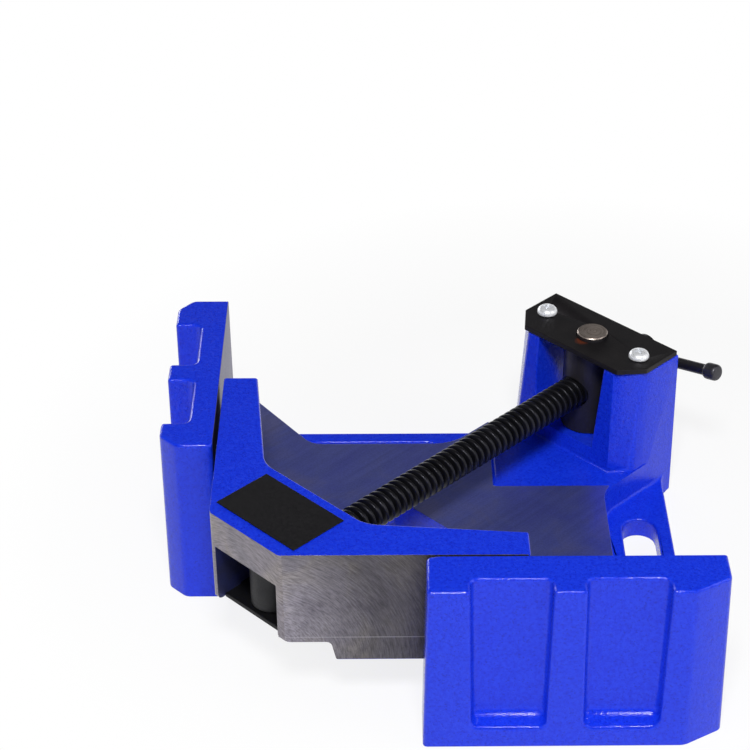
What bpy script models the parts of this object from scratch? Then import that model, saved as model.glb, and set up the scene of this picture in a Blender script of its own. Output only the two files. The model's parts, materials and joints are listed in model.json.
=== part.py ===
# Right-angle welding clamp: fixed corner casting, sliding nose jaw, swivelling nut and lead screw.
# Metres, +Z up.  The origin is on the underside of the base, below the axis of the swivelling nut.
# The two clamping faces are parallel to X and Y, and the screw runs along their 45 degree line.
import bpy
import bmesh
from math import cos, sin, radians, sqrt
from mathutils import Matrix, Vector

for ob in list(bpy.data.objects):
    bpy.data.objects.remove(ob, do_unlink=True)

mm = 0.001
ROOT2 = sqrt(2.0)

# Clearances
gap = 0.3 * mm              # between two pieces that rest on each other
rest_gap = 2.1 * mm         # left between the closed nose jaw and each fixed jaw

# Fixed corner
jaw_length = 127.0 * mm
jaw_height = 86.2 * mm
jaw_wall = 24.5 * mm
throat = 180.0 * mm         # clamping face to nut axis
floor_top = 27.4 * mm
pad_drop = 2.0 * mm         # cast skin around the post, below the milled floor
flange_top = 10.4 * mm
neck_half = 39.7 * mm
ledge_out = 10.4 * mm       # lower end of a pocket, at the outer face
ledge_fall = 0.30           # how much it drops per millimetre outwards

# Each side of the casting has its own values: it is not symmetrical.  The web is what is left
# behind a pocket, and at the foot the ends and the outer face stand out by the draft.
right = dict(start=95.2, web=15.5, foot=(-1.3, 2.7, 24.4), chamfer=(15.7, 9.2, 14.5), apex=None,
             pockets=((17.8, 52.4), (66.3, 101.5)), end_step=18.1, shelf=184.1, front=43.7, rim=217.1, slot_width=16.9, slot_mid=201.75,
             slot=(49.1, 126.0))
left = dict(start=82.0, web=11.8, foot=(-2.0, 2.0, 25.1), chamfer=(8.1, 7.0, 8.7), apex=(8.2, 8.35, 6.3),
            pockets=((18.5, 54.4), (68.1, 103.7)), end_step=10.3, shelf=167.3, front=41.2, rim=200.7, slot_width=15.9, slot_mid=185.5,
            slot=(34.4, 106.4))

notch_half = 30.6 * mm
notch_end = 144.5 * mm
pad_lead = 52.43 * mm       # from the post to the corner of the lower skin

# Post that carries the nut
post_front = 238.4 * mm
post_rear = 274.3 * mm
post_gap_top = 20.8 * mm
post_gap_foot = 18.8 * mm
sill_top = 32.7 * mm
post_drop = 6.1 * mm        # top of the post, below the top of the jaws
post_top = jaw_height - post_drop
pad_corner = (post_front - pad_lead) / ROOT2
pad_top = floor_top - pad_drop
sill_back = 1.4 * mm        # how far the sill's upper edge stands behind the pillars

# Nut, cover plate and its screws
nut_radius = 13.4 * mm
journal_radius = 7.5 * mm
journal_stand = 2.1 * mm
journal_depth = 12.0 * mm
cover_thickness = 2.7 * mm
cover_front = 237.9 * mm
cover_rear = 272.3 * mm
cover_half = 39.0 * mm
cover_chamfer = (9.5 * mm, 11.2 * mm)
cover_screw_half = 29.4 * mm
m5_shank = 2.3 * mm
m5_head = 5.0 * mm
m5_head_height = 3.5 * mm

# Lead screw and its bar
thread_radius = 8.0 * mm
hub_radius = 7.5 * mm
hub_start = 28.0 * mm       # behind the nut axis
hub_length = 18.6 * mm
bar_seat = 38.0 * mm
bar_radius = 2.8 * mm
bar_length = 110.0 * mm
bar_offset = -3.5 * mm
bar_tilt = radians(11.5)
knob_radius = 4.4 * mm
knob_length = 9.0 * mm

# Nose jaw
nose_reach = 30.8 * mm      # virtual corner to nose flat, along each face
wing_reach = 137.4 * mm
wing_end_wall = 15.8 * mm
wing_root = (67.45 * mm, 22.2 * mm)
nose_drop = 0.9 * mm        # below the top of the fixed jaws
nose_top = jaw_height - nose_drop
nose_foot = 37.6 * mm
plate_thickness = 2.3 * mm
plate_top = nose_foot + plate_thickness
roof = (nose_top - nose_foot) * 175 / 477
window_top = nose_top - roof
screw_height = plate_top + (window_top - plate_top) * 155 / 275
foot_step = 54.4 * mm
step_draft = 2.2 * mm
nose_heel = (2.8 * mm, 4.0 * mm)    # rounding of the flat's lower edge
lip_half = 24.0 * mm        # between the wings the jaw stays clear of the floor
window_half = 19.4 * mm
window_rear_half = 20.4 * mm
pivot_reach = 36.95 * mm    # virtual corner to jaw pivot, along the diagonal
trunnion_radius = 6.0 * mm
trunnion_height = roof * 4 / 7
lower_trunnion_radius = 5.0 * mm
block_radius = 9.8 * mm
block_half = 11.4 * mm
block_tail = 18.2 * mm
stub_radius = 5.5 * mm
groove_radius = 4.0 * mm
groove_seat = 11.0 * mm     # pivot axis to retaining pin
pin_radius = 1.5 * mm
plate_setback = 4.0 * mm
plate_rear = 54.15 * mm
ear_half = 29.5 * mm
ear_front = 35.65 * mm
ear_rear = 45.65 * mm
ear_screw_half = 24.6 * mm
m4_shank = 1.8 * mm
m4_head = 3.6 * mm
label_size = (29.5 * mm, 49.0 * mm)
label_front = 28.35 * mm
label_thickness = 0.4 * mm


def principled(name, rgb, rough, metal):
    mat = bpy.data.materials.new(name)
    mat.use_nodes = True
    shader = mat.node_tree.nodes["Principled BSDF"]
    shader.inputs["Base Color"].default_value = (*rgb, 1.0)
    shader.inputs["Roughness"].default_value = rough
    shader.inputs["Metallic"].default_value = metal
    return mat


def from_bmesh(name, bm, mat=None, smooth=False):
    bmesh.ops.recalc_face_normals(bm, faces=bm.faces[:])
    for f in bm.faces:
        f.smooth = smooth
    mesh = bpy.data.meshes.new(name)
    bm.to_mesh(mesh)
    bm.free()
    ob = bpy.data.objects.new(name, mesh)
    bpy.context.scene.collection.objects.link(ob)
    if mat:
        mesh.materials.append(mat)
    return ob


def loft(rings):
    """Closed body through rings of equal length, each a list of (x, y, z)."""
    bm = bmesh.new()
    loops = [[bm.verts.new(p) for p in ring] for ring in rings]
    count = len(loops[0])
    for low, high in zip(loops, loops[1:]):
        for i in range(count):
            j = (i + 1) % count
            bm.faces.new((low[i], low[j], high[j], high[i]))
    bm.faces.new(list(reversed(loops[0])))
    bm.faces.new(loops[-1])
    return bm


def prism(outline, z0, z1, foot=None):
    foot = foot or outline
    return loft([[(x, y, z0) for x, y in foot], [(x, y, z1) for x, y in outline]])


def round_edges(bm, test, radius, segments=4):
    chosen = [e for e in bm.edges if test(e.verts[0].co, e.verts[1].co)]
    bmesh.ops.bevel(bm, geom=chosen, offset=radius, segments=segments, profile=0.5,
                    affect='EDGES', clamp_overlap=True)


def upright_at(points, tolerance=0.4 * mm):
    """Test for the upright edges that stand at the given plan points."""
    def test(a, b):
        if abs(a.z - b.z) < 1.0 * mm:
            return False
        return any((Vector((a.x, a.y)) - Vector(p)).length < tolerance for p in points)
    return test


def revolved(name, profile, mat, steps=32):
    """Turned piece: the profile is (radius, height) from top to bottom."""
    mesh = bpy.data.meshes.new(name)
    verts = [(r, 0.0, z) for r, z in profile]
    mesh.from_pydata(verts, [(i, i + 1) for i in range(len(verts) - 1)], [])
    ob = bpy.data.objects.new(name, mesh)
    bpy.context.scene.collection.objects.link(ob)
    mesh.materials.append(mat)
    turn = ob.modifiers.new("Turn", 'SCREW')
    turn.axis = 'Z'
    turn.angle = radians(360)
    turn.steps = steps
    turn.render_steps = steps
    turn.use_merge_vertices = True
    turn.merge_threshold = 0.00001
    turn.use_smooth_shade = True
    return ob


def rod(radius, z0, z1, segments=32, matrix=None):
    bm = bmesh.new()
    bmesh.ops.create_cone(bm, cap_ends=True, segments=segments, radius1=radius, radius2=radius,
                          depth=z1 - z0, matrix=Matrix.Translation((0, 0, (z0 + z1) / 2)))
    if matrix:
        bmesh.ops.transform(bm, matrix=matrix, verts=bm.verts[:])
    return bm


def combine(target, bm, operation, frame=None, parent=None):
    """Join a body to the target, or cut it away, with a Boolean modifier."""
    tool = from_bmesh(target.name + "_" + operation.lower(), bm)
    tool.hide_render = True
    tool.display_type = 'WIRE'
    if parent:
        tool.parent = parent
    if frame:
        tool.matrix_local = frame
    mod = target.modifiers.new(operation.title(), 'BOOLEAN')
    mod.operation = operation
    mod.solver = 'EXACT'
    mod.object = tool
    return mod


def empty(name, location, angle=0.0, parent=None):
    ob = bpy.data.objects.new(name, None)
    bpy.context.scene.collection.objects.link(ob)
    ob.location = location
    ob.rotation_euler = (0, 0, angle)
    ob.parent = parent
    return ob


enamel = principled("blue_enamel", (0.012, 0.03, 0.62), 0.32, 0.0)
enamel_jaw = principled("blue_enamel_nose", (0.012, 0.03, 0.62), 0.32, 0.0)
black_plate = principled("black_oxide_plate", (0.022, 0.021, 0.023), 0.5, 0.6)
black_plate_low = principled("black_oxide_nose_plate", (0.02, 0.02, 0.021), 0.55, 0.6)
black_screw = principled("black_oxide_screw", (0.014, 0.014, 0.015), 0.36, 0.8)
black_bar = principled("black_oxide_bar", (0.02, 0.02, 0.02), 0.45, 0.7)
black_knob = principled("black_oxide_knob", (0.02, 0.02, 0.02), 0.5, 0.7)
nut_steel = principled("phosphated_nut", (0.05, 0.047, 0.046), 0.55, 0.7)
block_steel = principled("phosphated_block", (0.04, 0.04, 0.04), 0.55, 0.7)
zinc = principled("zinc_plated_screw", (0.72, 0.73, 0.75), 0.22, 1.0)
zinc_low = principled("zinc_plated_plate_screw", (0.6, 0.61, 0.63), 0.3, 1.0)
pin_steel = principled("spring_steel_pin", (0.25, 0.25, 0.26), 0.35, 1.0)
label_ink = principled("black_label", (0.018, 0.017, 0.017), 0.4, 0.0)

corner = empty("clamp_corner", (-throat, -throat, 0))
nut_line = throat * ROOT2
diagonal = empty("screw_line", (0, 0, 0), radians(45))


def on_diagonal(reach, across):
    """Plan point in the corner's frame, from its reach along the screw line and its offset to the right."""
    return ((reach + across) / ROOT2, (reach - across) / ROOT2)


def along(points, shift=0.0):
    """The same points in the frame of the screw line, whose X runs back and whose Y runs left."""
    return [(reach - shift, -across) for reach, across in points]


# Base casting

def jaw_rings(side, swap):
    u0 = side["start"] * mm
    u1 = u0 + jaw_length
    lean_a, lean_b, foot_wall = (v * mm for v in side["foot"])
    rings = []
    for z, a, b, wall, keep in ((0.0, u0 + lean_a, u1 + lean_b, foot_wall, 2), (jaw_height, u0, u1, jaw_wall, 0)):
        run, rise = side["chamfer"][:2]
        in_b = u1 - side["chamfer"][keep] * mm
        ring = [(a, 0.0), (b, 0.0), (b, (b - in_b) * rise / run - wall), (in_b, -wall)]
        if side["apex"]:
            run, rise = side["apex"][:2]
            in_a = u0 + side["apex"][keep] * mm
            ring += [(in_a, -wall), (a, (in_a - a) * rise / run - wall)]
        else:
            ring += [(u0 + 6 * mm, -wall), (a, -wall)]
        rings.append([((y, x, z) if swap else (x, y, z)) for x, y in ring])
    return rings


def pocket(side, start, end, swap):
    u0 = side["start"] * mm
    a, b = u0 + start * mm, u0 + end * mm
    web_wall = side["web"] * mm
    back = jaw_wall + 6 * mm
    ledge_in = ledge_out + ledge_fall * (jaw_wall - web_wall)
    fall = ledge_fall * (back - web_wall)
    top = jaw_height + 5 * mm
    rings = []
    for u_top, u_low in ((a, a + 2.0 * mm), (b, b - 0.6 * mm)):
        rings.append([(u_top, -web_wall, top), (u_low, -web_wall - 0.4 * mm, ledge_in),
                      (u_low, -back, ledge_in - fall), (u_top, -back, top)])
    bm = loft([[((y, x, z) if swap else (x, y, z)) for x, y, z in ring] for ring in rings])
    k = 0 if swap else 1

    def inside(p, q):
        on_web = abs(p[k] + web_wall) < 0.6 * mm and abs(q[k] + web_wall) < 0.6 * mm
        on_ledge = p.z < ledge_in + mm and q.z < ledge_in + mm
        return on_web and min(p.z, q.z) < ledge_in + mm or on_ledge and abs(p[k] - q[k]) > 2 * mm

    round_edges(bm, inside, 3.4 * mm, 4)
    return bm


def slot_ring(side, swap):
    half = side["slot_width"] / 2 * mm
    mid = side["slot_mid"] * mm
    lo, hi = (v * mm for v in side["slot"])
    ring = []
    for centre, first in ((hi - half, 0), (lo + half, 180)):
        for k in range(13):
            angle = radians(first + 15 * k)
            ring.append((mid + half * cos(angle), centre + half * sin(angle)))
    return [(y, x) for x, y in ring] if swap else ring


sunk = 10 * mm              # how far the floor runs in under the jaws
r_start, l_start = right["start"] * mm, left["start"] * mm
r_end, l_end = r_start + jaw_length, l_start + jaw_length
rear_right = on_diagonal(post_rear - 14 * mm, neck_half)
rear_left = on_diagonal(post_rear - 14 * mm, -neck_half)
floor = [
    (r_start, -sunk), (r_end, -sunk), (r_end, right["end_step"] * mm),
    (right["shelf"] * mm, right["front"] * mm),
    (right["shelf"] * mm, right["shelf"] * mm - neck_half * ROOT2),
    rear_right, rear_left,
    (left["shelf"] * mm - neck_half * ROOT2, left["shelf"] * mm),
    (left["front"] * mm, left["shelf"] * mm),
    (left["end_step"] * mm, l_end), (-sunk, l_end), (-sunk, l_start),
    (l_start - notch_half * ROOT2, l_start),
    on_diagonal(notch_end, -notch_half), on_diagonal(notch_end, notch_half),
    (r_start, r_start - notch_half * ROOT2),
]
body = prism(floor, 0.0, floor_top)
round_edges(body, upright_at([floor[3], floor[8]]), 5.0 * mm)
round_edges(body, upright_at([floor[4], floor[7]]), 8.0 * mm)
round_edges(body, upright_at([floor[12], floor[15]]), 3.0 * mm, 3)
round_edges(body, upright_at([floor[13], floor[14]]), 5.0 * mm, 3)
base = from_bmesh("base_casting", body, enamel)
base.parent = corner

for side, swap in ((right, False), (left, True)):
    rings = jaw_rings(side, swap)
    jaw = loft(rings)
    outline = [(x, y) for x, y, z in rings[1]]
    keep = outline[2:4] + outline[4:6] if side["apex"] else outline[2:4] + outline[5:6]
    round_edges(jaw, lambda p, q: abs(p.z - q.z) > 20 * mm and min(p[0 if swap else 1], q[0 if swap else 1]) < -mm
                and any((Vector((v.x, v.y)) - Vector(c)).length < 0.1 * mm for v in (p, q) for c in keep),
                1.9 * mm, 3)
    round_edges(jaw, upright_at(outline[:2]), 2.2 * mm, 3)
    combine(base, jaw, 'UNION', parent=corner)
    rim = side["rim"] * mm
    flange = [(side["shelf"] * mm - 4 * mm, 12 * mm), (rim, 12 * mm),
              (rim, rim - neck_half * ROOT2 + 0.5 * mm), (rim - 12 * mm, rim - neck_half * ROOT2 + 4 * mm),
              (side["shelf"] * mm - 4 * mm, side["shelf"] * mm - neck_half * ROOT2 + 6 * mm)]
    if swap:
        flange = [(y, x) for x, y in flange]
    combine(base, prism(flange, 0.0, flange_top), 'UNION', parent=corner)

pad_reach = pad_corner + 110 * mm
skin = []
for z, slope in ((pad_top, 0.0), (floor_top + mm, 1.2 * mm)):
    near = pad_corner - slope
    skin.append([(near, near, z), (pad_reach, near, z), (pad_reach, pad_reach, z), (near, pad_reach, z)])
combine(base, loft(skin), 'DIFFERENCE', parent=corner)

# The post: one block with broken front corners that widens towards its foot, parted by the nut's gap.
nut_shift = nut_line


def post_ring(z, lean):
    half = [(post_front - 4.7 * mm * lean, (27.3 + 3.9 * lean) * mm),
            (post_front + (9.5 - 4.1 * lean) * mm, (36.8 + 3.2 * lean) * mm),
            (post_front + 16 * mm, (38.8 + 1.3 * lean) * mm), (post_rear + 0.5 * mm * lean, (39.0 + 1.3 * lean) * mm)]
    plan = [(d, -w) for d, w in half] + [(d, w) for d, w in reversed(half)]
    return [(x, y, z) for x, y in along(plan, nut_shift)]


post = loft([post_ring(0.0, 1.0), post_ring(post_top, 0.0)])
combine(base, post, 'UNION', parent=diagonal)
reach = post_front - 14 * mm, post_rear + 10 * mm
flare = (post_gap_top - post_gap_foot) / (post_top - sill_top)
rings = []
for z in (sill_top, post_top + 5 * mm):
    half = post_gap_foot + flare * (z - sill_top)
    plan = along([(reach[0], -half), (reach[1], -half), (reach[1], half), (reach[0], half)], nut_shift)
    rings.append([(x, y, z) for x, y in plan])
gate = loft(rings)
round_edges(gate, lambda p, q: abs(p.z - sill_top) < 0.1 * mm and abs(q.z - sill_top) < 0.1 * mm
            and abs(p.y - q.y) < 0.1 * mm, 1.6 * mm, 2)
combine(base, gate, 'DIFFERENCE', parent=diagonal)
sill_line = post_front - 4.7 * mm * (1 - sill_top / post_top)
bevel = []
for z, back in ((pad_top + 0.5 * mm, -0.2 * mm), (sill_top + 0.5 * mm, sill_back)):
    line = post_front - 4.7 * mm * (1 - z / post_top) + back
    plan = along([(sill_line - 20 * mm, -post_gap_foot), (line, -post_gap_foot), (line, post_gap_foot),
                  (sill_line - 20 * mm, post_gap_foot)], nut_shift)
    bevel.append([(x, y, z) for x, y in plan])
combine(base, loft(bevel), 'DIFFERENCE', parent=diagonal)

for side, swap in ((right, False), (left, True)):
    for start, end in side["pockets"]:
        combine(base, pocket(side, start, end, swap), 'DIFFERENCE', parent=corner)
    combine(base, prism(slot_ring(side, swap), -2 * mm, flange_top + 4 * mm), 'DIFFERENCE', parent=corner)

bore = rod(journal_radius + gap, sill_top - journal_depth - gap, sill_top + 4 * mm)
combine(base, bore, 'DIFFERENCE', parent=diagonal)
for sign in (1, -1):
    tapped = rod(m5_shank + gap, post_top - 15 * mm, post_top + 2 * mm, 20,
                 Matrix.Translation((0, sign * cover_screw_half, 0)))
    combine(base, tapped, 'DIFFERENCE', parent=diagonal)

# Swivelling nut: a barrel with a journal at each end, drilled across for the screw
barrel_top = post_top
barrel_foot = sill_top + gap
cover_foot = post_top + gap
cover_top = cover_foot + cover_thickness
nut = revolved("swivel_nut", [
    (0, cover_top + journal_stand), (journal_radius - 0.5 * mm, cover_top + journal_stand),
    (journal_radius, cover_top + journal_stand - 0.5 * mm), (journal_radius, barrel_top),
    (nut_radius - 0.4 * mm, barrel_top), (nut_radius, barrel_top - 0.4 * mm),
    (nut_radius, barrel_foot + 0.6 * mm), (nut_radius - 0.6 * mm, barrel_foot),
    (journal_radius, barrel_foot), (journal_radius, sill_top - journal_depth + 0.6 * mm),
    (journal_radius - 0.6 * mm, sill_top - journal_depth), (0, sill_top - journal_depth)], nut_steel, 40)
lying = Matrix.Translation((0, 0, screw_height)) @ Matrix.Rotation(radians(90), 4, 'Y')
combine(nut, rod(thread_radius + gap, -nut_radius - 3 * mm, nut_radius + 3 * mm, 32, lying),
        'DIFFERENCE', parent=diagonal)

# Cover plate
cw, cd = cover_chamfer
plan = [(cover_front, -(cover_half - cw)), (cover_front + cd, -cover_half), (cover_rear, -cover_half),
        (cover_rear, cover_half), (cover_front + cd, cover_half), (cover_front, cover_half - cw)]
cover = from_bmesh("nut_cover_plate", prism(along(plan, nut_shift), cover_foot, cover_top), black_plate)
cover.parent = diagonal
combine(cover, rod(journal_radius + gap, cover_foot - mm, cover_top + mm), 'DIFFERENCE', parent=diagonal)
for sign in (1, -1):
    hole = rod(m5_shank + gap, cover_foot - mm, cover_top + mm, 20,
               Matrix.Translation((0, sign * cover_screw_half, 0)))
    combine(cover, hole, 'DIFFERENCE', parent=diagonal)

for name, sign in (("cover_screw_left", 1), ("cover_screw_right", -1)):
    seat = cover_top + gap
    screw = revolved(name, [
        (0, seat + m5_head_height), (m5_head * 0.42, seat + m5_head_height - 0.15 * mm),
        (m5_head * 0.8, seat + m5_head_height * 0.72), (m5_head * 0.97, seat + m5_head_height * 0.36),
        (m5_head, seat + 0.3 * mm), (m5_head - 0.2 * mm, seat), (m5_shank, seat),
        (m5_shank, post_top - 13 * mm), (m5_shank - 0.6 * mm, post_top - 14 * mm), (0, post_top - 14 * mm)],
        zinc, 24)
    screw.parent = diagonal
    screw.location = (0, sign * cover_screw_half, 0)

# Nose jaw, in the frame of its own virtual corner and then moved onto its pivot
pivot = Vector((pivot_reach / ROOT2, pivot_reach / ROOT2, 0))
jaw_corner = empty("nose_jaw_corner", (-throat + rest_gap, -throat + rest_gap, 0))
jaw_diagonal = empty("nose_jaw_line", (0, 0, 0), radians(45), jaw_corner)
wx, wy = wing_root
nose_plan = [(nose_reach, 0), (wing_reach, 0), (wing_reach, wing_end_wall), (wx, wy),
             (wy, wx), (wing_end_wall, wing_reach), (0, wing_reach), (0, nose_reach)]
shell = prism(nose_plan, floor_top + gap, nose_top)
round_edges(shell, upright_at([nose_plan[0], nose_plan[7]]), 1.5 * mm, 3)
round_edges(shell, upright_at([nose_plan[3], nose_plan[4]]), 5.0 * mm, 4)
round_edges(shell, upright_at([nose_plan[1], nose_plan[2], nose_plan[5], nose_plan[6]]), 1.0 * mm, 2)
bmesh.ops.translate(shell, vec=-pivot, verts=shell.verts[:])
nose = from_bmesh("movable_jaw", shell, enamel_jaw)
nose.parent = jaw_corner
nose.location = pivot

low = floor_top - 5 * mm
top_step = foot_step - step_draft
low_step = foot_step + step_draft * 0.5
undercut = prism([(-5 * mm, -5 * mm), (top_step, -5 * mm), (top_step, top_step), (-5 * mm, top_step)], low, nose_foot,
                 [(-5 * mm, -5 * mm), (low_step, -5 * mm), (low_step, low_step), (-5 * mm, low_step)])
round_edges(undercut, lambda p, q: abs(p.z - nose_foot) < 0.1 * mm and abs(q.z - nose_foot) < 0.1 * mm
            and (abs(p.x - q.x) < 0.1 * mm and p.x > 0 or abs(p.y - q.y) < 0.1 * mm and p.y > 0), 2.0 * mm, 3)
combine(nose, undercut, 'DIFFERENCE', parent=jaw_corner)
nose_flat = nose_reach / ROOT2
heel_run, heel_rise = nose_heel
heel = [(nose_flat - 2 * mm, nose_foot - 2 * mm), (nose_flat + heel_run, nose_foot - 2 * mm)]
for k in range(6):
    turn = radians(90 - 18 * k)
    heel.append((nose_flat + heel_run * (1 - cos(turn)), nose_foot + heel_rise * (1 - sin(turn))))
heel.append((nose_flat - 2 * mm, nose_foot + heel_rise))
combine(nose, loft([[(d, w, z) for d, z in heel] for w in (-30 * mm, 30 * mm)]), 'DIFFERENCE', parent=jaw_diagonal)
lip = prism(along([(nose_flat + 8 * mm, -lip_half), (wing_root[0] + 12 * mm, -lip_half),
                   (wing_root[0] + 12 * mm, lip_half), (nose_flat + 8 * mm, lip_half)]), low, nose_foot)
combine(nose, lip, 'DIFFERENCE', parent=jaw_diagonal)
channel = prism(along([(nose_flat - 8 * mm, -window_half), (nose_flat + 6 * mm, -window_half),
                       (wing_root[0] + 12 * mm, -window_rear_half), (wing_root[0] + 12 * mm, window_rear_half),
                       (nose_flat + 6 * mm, window_half), (nose_flat - 8 * mm, window_half)]),
                low, window_top)
combine(nose, channel, 'DIFFERENCE', parent=jaw_diagonal)


def plate_plan(g):
    inner = window_half - gap + g
    return [(nose_flat + plate_setback - g, -inner), (ear_front - g, -inner), (ear_front - g, -ear_half - g),
            (ear_rear + g, -ear_half - g), (ear_rear + g, -inner), (plate_rear + g, -inner),
            (plate_rear + g, inner), (ear_rear + g, inner), (ear_rear + g, ear_half + g),
            (ear_front - g, ear_half + g), (ear_front - g, inner), (nose_flat + plate_setback - g, inner)]


recess = prism(along([(ear_front - gap, -ear_half - gap), (ear_rear + gap, -ear_half - gap),
                      (ear_rear + gap, ear_half + gap), (ear_front - gap, ear_half + gap)]),
               low, plate_top + gap)
combine(nose, recess, 'DIFFERENCE', parent=jaw_diagonal)
socket = rod(trunnion_radius + gap, window_top - 2 * mm, window_top + trunnion_height + gap, 32,
             Matrix.Translation((pivot_reach, 0, 0)))
combine(nose, socket, 'DIFFERENCE', parent=jaw_diagonal)
ear_mid = (ear_front + ear_rear) / 2
for sign in (1, -1):
    tapped = rod(m4_shank + gap, plate_top - mm, plate_top + 9 * mm, 20,
                 Matrix.Translation((ear_mid, sign * ear_screw_half, 0)))
    combine(nose, tapped, 'DIFFERENCE', parent=jaw_diagonal)

# Plate that closes the nose from below
low_plate = from_bmesh("nose_bottom_plate", prism(along(plate_plan(0.0)), nose_foot, plate_top), black_plate_low)
low_plate.parent = jaw_diagonal
combine(low_plate, rod(lower_trunnion_radius + gap, nose_foot - mm, plate_top + mm, 32,
                       Matrix.Translation((pivot_reach, 0, 0))), 'DIFFERENCE', parent=jaw_diagonal)
for sign in (1, -1):
    sink = bmesh.new()
    bmesh.ops.create_cone(sink, cap_ends=True, segments=24, radius1=m4_head + gap + 0.5 * mm,
                          radius2=m4_shank + gap, depth=m4_head - m4_shank + 0.5 * mm,
                          matrix=Matrix.Translation((ear_mid, sign * ear_screw_half,
                                                     nose_foot - 0.5 * mm + (m4_head - m4_shank + 0.5 * mm) / 2)))
    combine(low_plate, sink, 'DIFFERENCE', parent=jaw_diagonal)
    hole = rod(m4_shank + gap, nose_foot, plate_top + mm, 24,
               Matrix.Translation((ear_mid, sign * ear_screw_half, 0)))
    combine(low_plate, hole, 'DIFFERENCE', parent=jaw_diagonal)
for name, sign in (("bottom_plate_screw_left", 1), ("bottom_plate_screw_right", -1)):
    head_foot = nose_foot + 0.1 * mm
    screw = revolved(name, [
        (0, plate_top + 8 * mm), (m4_shank - 0.5 * mm, plate_top + 8 * mm), (m4_shank, plate_top + 7.5 * mm),
        (m4_shank, head_foot + m4_head - m4_shank), (m4_head, head_foot), (0, head_foot)], zinc_low, 24)
    screw.parent = jaw_diagonal
    screw.location = (ear_mid, sign * ear_screw_half, 0)

# Blank label on the nose
label = from_bmesh("label_plate", prism(along([
    (label_front, -label_size[1] / 2), (label_front + label_size[0], -label_size[1] / 2),
    (label_front + label_size[0], label_size[1] / 2), (label_front, label_size[1] / 2)]),
    nose_top + gap, nose_top + gap + label_thickness), label_ink)
label.parent = jaw_diagonal

# Block in which the screw's end turns, and which swivels in the nose
pivot_line = -nut_line + (rest_gap * ROOT2) + pivot_reach
block_top = window_top - gap
block_foot = plate_top + gap
block = revolved("nose_pivot_block", [
    (0, window_top + trunnion_height), (trunnion_radius - 0.6 * mm, window_top + trunnion_height),
    (trunnion_radius, window_top + trunnion_height - 0.6 * mm), (trunnion_radius, block_top),
    (block_radius, block_top), (block_radius, block_foot + 0.8 * mm), (block_radius - 0.8 * mm, block_foot),
    (lower_trunnion_radius, block_foot), (lower_trunnion_radius, nose_foot + gap), (0, nose_foot + gap)],
    block_steel, 32)
block.parent = diagonal
block.location = (pivot_line, 0, 0)
tail = prism([(2 * mm, -block_half), (block_tail, -block_half), (block_tail, block_half), (2 * mm, block_half)],
             block_foot, block_top)
round_edges(tail, upright_at([(block_tail, -block_half), (block_tail, block_half)]), 2.0 * mm, 2)
combine(block, tail, 'UNION', Matrix.Translation((pivot_line, 0, 0)), diagonal)
stub_length = block_tail - 0.8 * mm
combine(block, rod(stub_radius + gap, 0.5 * mm, block_tail + 3 * mm, 32, lying), 'DIFFERENCE',
        Matrix.Translation((pivot_line, 0, 0)), diagonal)
pin_height = groove_radius + gap + pin_radius
across = Matrix.Translation((groove_seat, 0, screw_height + pin_height)) @ Matrix.Rotation(radians(90), 4, 'X')
combine(block, rod(pin_radius + gap, -block_half - 2 * mm, block_half + 2 * mm, 20, across), 'DIFFERENCE',
        Matrix.Translation((pivot_line, 0, 0)), diagonal)
pin = from_bmesh("screw_retaining_pin", rod(pin_radius, 0.2 * mm - block_half, block_half - 0.2 * mm, 20, across),
                 pin_steel, False)
pin.parent = diagonal
pin.location = (pivot_line, 0, 0)

# Lead screw: stub, thread body and hub.  Its own Z runs back along the screw line.
shoulder = pivot_line + block_tail + gap
tip = pivot_line + 0.8 * mm
groove = pivot_line + groove_seat
half_groove = pin_radius + gap
hub_end = hub_start + hub_length
lead = revolved("lead_screw", [
    (0, hub_end), (hub_radius - 1.5 * mm, hub_end), (hub_radius, hub_end - 1.5 * mm), (hub_radius, hub_start),
    (thread_radius, hub_start - 1.0 * mm), (thread_radius, shoulder + 0.8 * mm), (thread_radius - 0.8 * mm, shoulder),
    (stub_radius, shoulder), (stub_radius, groove + half_groove), (groove_radius, groove + half_groove),
    (groove_radius, groove - half_groove), (stub_radius, groove - half_groove), (stub_radius, tip + 0.8 * mm),
    (stub_radius - 0.8 * mm, tip), (0, tip)], black_screw, 32)
screw_frame = empty("screw_turn", (0, 0, screw_height), 0.0, diagonal)
screw_frame.rotation_euler = (0, radians(90), 0)
lead.parent = screw_frame
# In this frame X points down, Y left and Z back: the bar lies across it, with its right end raised.
bar_frame = empty("bar_line", (0, 0, bar_seat), 0.0, screw_frame)
bar_frame.rotation_euler = (radians(90), 0, -bar_tilt)
combine(lead, rod(bar_radius + gap, -2 * thread_radius, 2 * thread_radius, 24), 'DIFFERENCE', parent=bar_frame)

tenon = 4.5 * mm
half_bar = bar_length / 2
bar = revolved("tommy_bar", [
    (0, half_bar - knob_length + tenon), (1.6 * mm, half_bar - knob_length + tenon),
    (1.6 * mm, half_bar - knob_length), (bar_radius, half_bar - knob_length),
    (bar_radius, knob_length - half_bar), (1.6 * mm, knob_length - half_bar),
    (1.6 * mm, knob_length - half_bar - tenon), (0, knob_length - half_bar - tenon)], black_bar, 20)
bar.parent = bar_frame
bar.location = (0, 0, bar_offset)
for name, flip in (("bar_knob_right", 0), ("bar_knob_left", 180)):
    a, b = half_bar - knob_length + gap, half_bar
    knob = revolved(name, [
        (0, b), (knob_radius * 0.55, b - 0.25 * mm), (knob_radius * 0.9, b - 1.0 * mm), (knob_radius, b - 2.2 * mm),
        (knob_radius, a + 2.2 * mm), (knob_radius * 0.78, a), (1.6 * mm + gap, a),
        (1.6 * mm + gap, a + tenon), (0, a + tenon)], black_knob, 24)
    knob.parent = bar_frame
    knob.location = (0, 0, bar_offset)
    knob.rotation_euler = (radians(flip), 0, 0)
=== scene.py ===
import json
import math

import bmesh
import bpy
from mathutils import Matrix, Vector

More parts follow.
